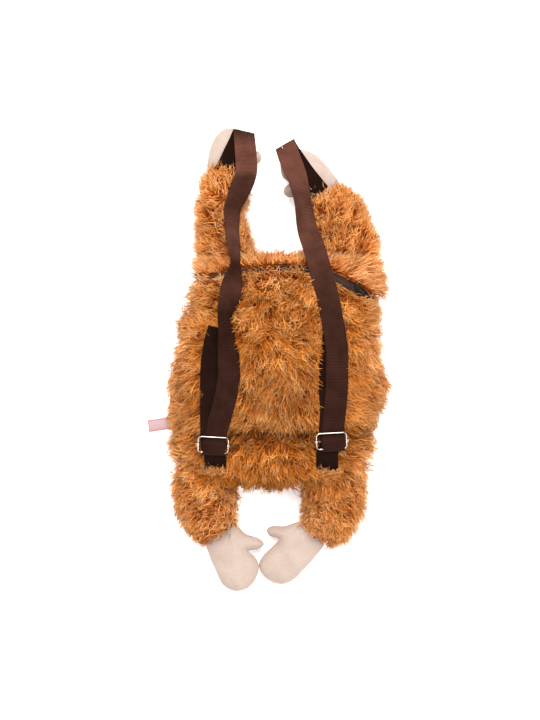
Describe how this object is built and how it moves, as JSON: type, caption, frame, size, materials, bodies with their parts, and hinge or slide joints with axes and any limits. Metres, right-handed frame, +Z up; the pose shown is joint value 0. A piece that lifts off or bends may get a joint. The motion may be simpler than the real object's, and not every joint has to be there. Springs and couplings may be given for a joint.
{
  "type": "plush kids backpack",
  "caption": "Soft hollow fur backpack with stuffed arms, legs and pale mitts, a zip across the upper back, and webbing straps with wire slider buckles.",
  "frame": {"origin": "centre of the overall box, on the surface that the bag's front lies on", "axes": "+Y from the feet to the hands, +X to the right of the wearer's side, +Z up, away from the surface"},
  "size_m": [0.2803, 0.5422, 0.1096],
  "materials": {
    "fur": "long shaggy pile, dark roots and pale tips",
    "mitt_plush": "short velour",
    "webbing": "ribbed woven webbing, slight sheen",
    "nickel_wire": "bright nickel plate",
    "zip_tape": "woven tape",
    "zip_coil": "nylon coil",
    "zip_metal": "dark plated",
    "label_satin": "bare satin"
  },
  "bodies": {
    "root": {"front_panel": "fur", "back_panel": "fur", "top_panel": "fur", "arm_left": "fur", "arm_right": "fur", "leg_left": "fur", "leg_right": "fur", "hand_left": "mitt_plush", "hand_right": "mitt_plush", "foot_left": "mitt_plush", "foot_right": "mitt_plush", "strap_left": "webbing", "strap_right": "webbing", "strap_anchor_left": "webbing", "strap_anchor_right": "webbing", "buckle_left": "nickel_wire", "buckle_right": "nickel_wire", "buckle_bar_left": "nickel_wire", "buckle_bar_right": "nickel_wire", "zip_tape": "zip_tape", "zip_coil": "zip_coil", "zip_slider": "zip_metal", "side_label": "label_satin"}
  },
  "joints": []
}
